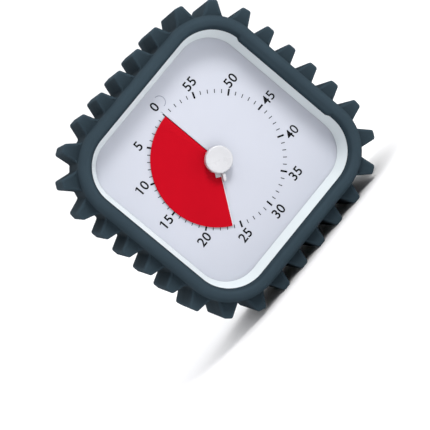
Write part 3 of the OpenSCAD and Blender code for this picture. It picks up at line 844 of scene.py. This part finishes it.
pointer_rings = []
pointer_stations = [
    (4.6, 0.65, 1.0),
    (6.6, 0.65, 1.0),
    (8.2, 0.62, 1.15),
    (8.85, 0.5, 1.25),
    (9.15, 0.28, 1.5),
]
for reach, width, top in pointer_stations:
    front = knob_face_y + top
    back = knob_back_y
    shape = rounded_path([
        (-width, back, 0),
        (-width, front, 0.22),
        (width, front, 0.22),
        (width, back, 0),
    ], 3)
    ring = []
    for p in shape:
        flat = on_edge(reach, 0.6 + p.x)
        ring.append(place(flat.x, p.y, flat.y))
    pointer_rings.append(ring)
pointer = face_outwards(add_mesh("pointer", *loft(pointer_rings, caps=True)))
piece(even_normals(pointer), "dial", materials["knob_white"], "knob_white")

# ---------- back of the case ----------

edge_widths = {
    "rear_housing": 0.3,
    "battery_door": 0.25,
    "housing_screws": 0.15,
    "switch_slider": 0.15,
    "disk_hub": 0.12,
}
for node, width in edge_widths.items():
    soften_edges(node, width)

door_back = door_high.y
grip_bars = []
for k in range(6):
    z = door_high.z - 4.6 - 1.3 * k
    half = 7.0 - 0.55 * k
    low = Vector((-half, door_back - 0.3, z))
    high = Vector((half, door_back + 0.35, z + 0.7))
    grip_bars.append(rounded_bar(low * MM, high * MM, 0.2 * MM))
grip = even_normals(add_mesh("door_grip", *joined(grip_bars)))
piece(grip, "door", materials["white_case"], "white_case")

SWITCH_X = 22
SWITCH_Z = 24
RIDGES_OFFSET = 2.1            # from the switch's middle to the ridges' middle, at rest
ridges_middle = SWITCH_X - RIDGES_OFFSET
slider_bars = []
for k in range(4):
    x = ridges_middle - 1.95 + 1.1 * k
    low = Vector((x, slider_high.y - 0.2, CENTRE_Z + SWITCH_Z - 1.5))
    high = Vector((x + 0.6, slider_high.y + 0.3, CENTRE_Z + SWITCH_Z + 1.5))
    slider_bars.append(rounded_bar(low * MM, high * MM, 0.15 * MM))
ridges = even_normals(add_mesh("slider_ridges", *joined(slider_bars)))
piece(ridges, "slider", materials["black_plastic"], "black_plastic")

# ---------- camera ----------

VIEW_TURN = math.radians(5.2105)
VIEW_DROP = math.radians(6.7013)
VIEW_ROLL = math.radians(-50.24)
VIEW_DISTANCE = 725.4
aim = place(-18.03, -15.0, -13.1)
ahead = Vector((
    math.sin(VIEW_TURN) * math.cos(VIEW_DROP),
    math.cos(VIEW_TURN) * math.cos(VIEW_DROP),
    -math.sin(VIEW_DROP),
))
camera_data = bpy.data.cameras.new("camera")
camera_data.lens = 151.3
camera_data.sensor_width = 36.0
camera = bpy.data.objects.new("camera", camera_data)
bpy.context.scene.collection.objects.link(camera)
camera.location = aim - ahead * VIEW_DISTANCE * MM
level = ahead.to_track_quat("-Z", "Y").to_matrix()
camera.rotation_euler = (level @ Matrix.Rotation(VIEW_ROLL, 3, "Z")).to_euler()
bpy.context.scene.camera = camera

# ---------- floor and light ----------

FLOOR_HALF = 6.0
floor_corners = [
    (-FLOOR_HALF, -FLOOR_HALF, 0),
    (FLOOR_HALF, -FLOOR_HALF, 0),
    (FLOOR_HALF, FLOOR_HALF, 0),
    (-FLOOR_HALF, FLOOR_HALF, 0),
]
floor = add_mesh("floor", floor_corners, [(0, 1, 2, 3)], smooth=False)
floor_paint = moulded("floor_paint", (0.93, 0.93, 0.935), rough=(0.85, 0.95),
                      variation=0.004, patch=2, grain=40, specular=0.05)
floor.data.materials.append(floor_paint)


def studio_world():
    """Soft surroundings, brightest behind the object and overhead."""
    world = bpy.data.worlds.new("studio")
    world.use_nodes = True
    tree = world.node_tree
    coordinates = tree.nodes.new("ShaderNodeTexCoord")
    split = tree.nodes.new("ShaderNodeSeparateXYZ")
    tree.links.new(coordinates.outputs["Generated"], split.inputs["Vector"])
    depth = tree.nodes.new("ShaderNodeMapRange")
    depth.inputs["From Min"].default_value = -1.0
    tree.links.new(split.outputs["Y"], depth.inputs["Value"])
    backwards = ramp(tree, depth.outputs["Result"], [
        (0.0, (0.3, 0.3, 0.31)),
        (0.5, (0.45, 0.45, 0.46)),
        (0.85, (0.48, 0.48, 0.48)),
        (0.965, (0.84, 0.84, 0.84)),
    ])
    overhead = ramp(tree, split.outputs["Z"], [(0.3, (0.41, 0.41, 0.41)), (0.7, (1.0, 1.0, 1.0))])
    both = tree.nodes.new("ShaderNodeMix")
    both.data_type = "RGBA"
    both.blend_type = "MULTIPLY"
    both.inputs["Factor"].default_value = 1.0
    tree.links.new(backwards, both.inputs["A"])
    tree.links.new(overhead, both.inputs["B"])
    background = tree.nodes["Background"]
    tree.links.new(both.outputs["Result"], background.inputs["Color"])
    background.inputs["Strength"].default_value = 3.2
    return world


bpy.context.scene.world = studio_world()


def area_light(name, location, target, size, energy, colour):
    """A soft lamp that faces a target."""
    data = bpy.data.lights.new(name, "AREA")
    data.shape = "RECTANGLE"
    data.size = size[0]
    data.size_y = size[1]
    data.energy = energy
    data.color = colour
    light = bpy.data.objects.new(name, data)
    bpy.context.scene.collection.objects.link(light)
    light.location = location
    light.rotation_euler = (Vector(target) - Vector(location)).to_track_quat("-Z", "Y").to_euler()
    return light


area_light("key_light", (0.5, -0.75, 0.6), (0, 0, 0.05), (0.32, 0.32), 8.0, (1.0, 0.99, 0.97))
area_light("front_light", (-0.3, -1.5, 0.6), (0, 0, 0.05), (0.9, 0.9), 0.5, (0.96, 0.98, 1.0))

scene = bpy.context.scene
scene.view_settings.view_transform = "Standard"
scene.view_settings.look = "None"
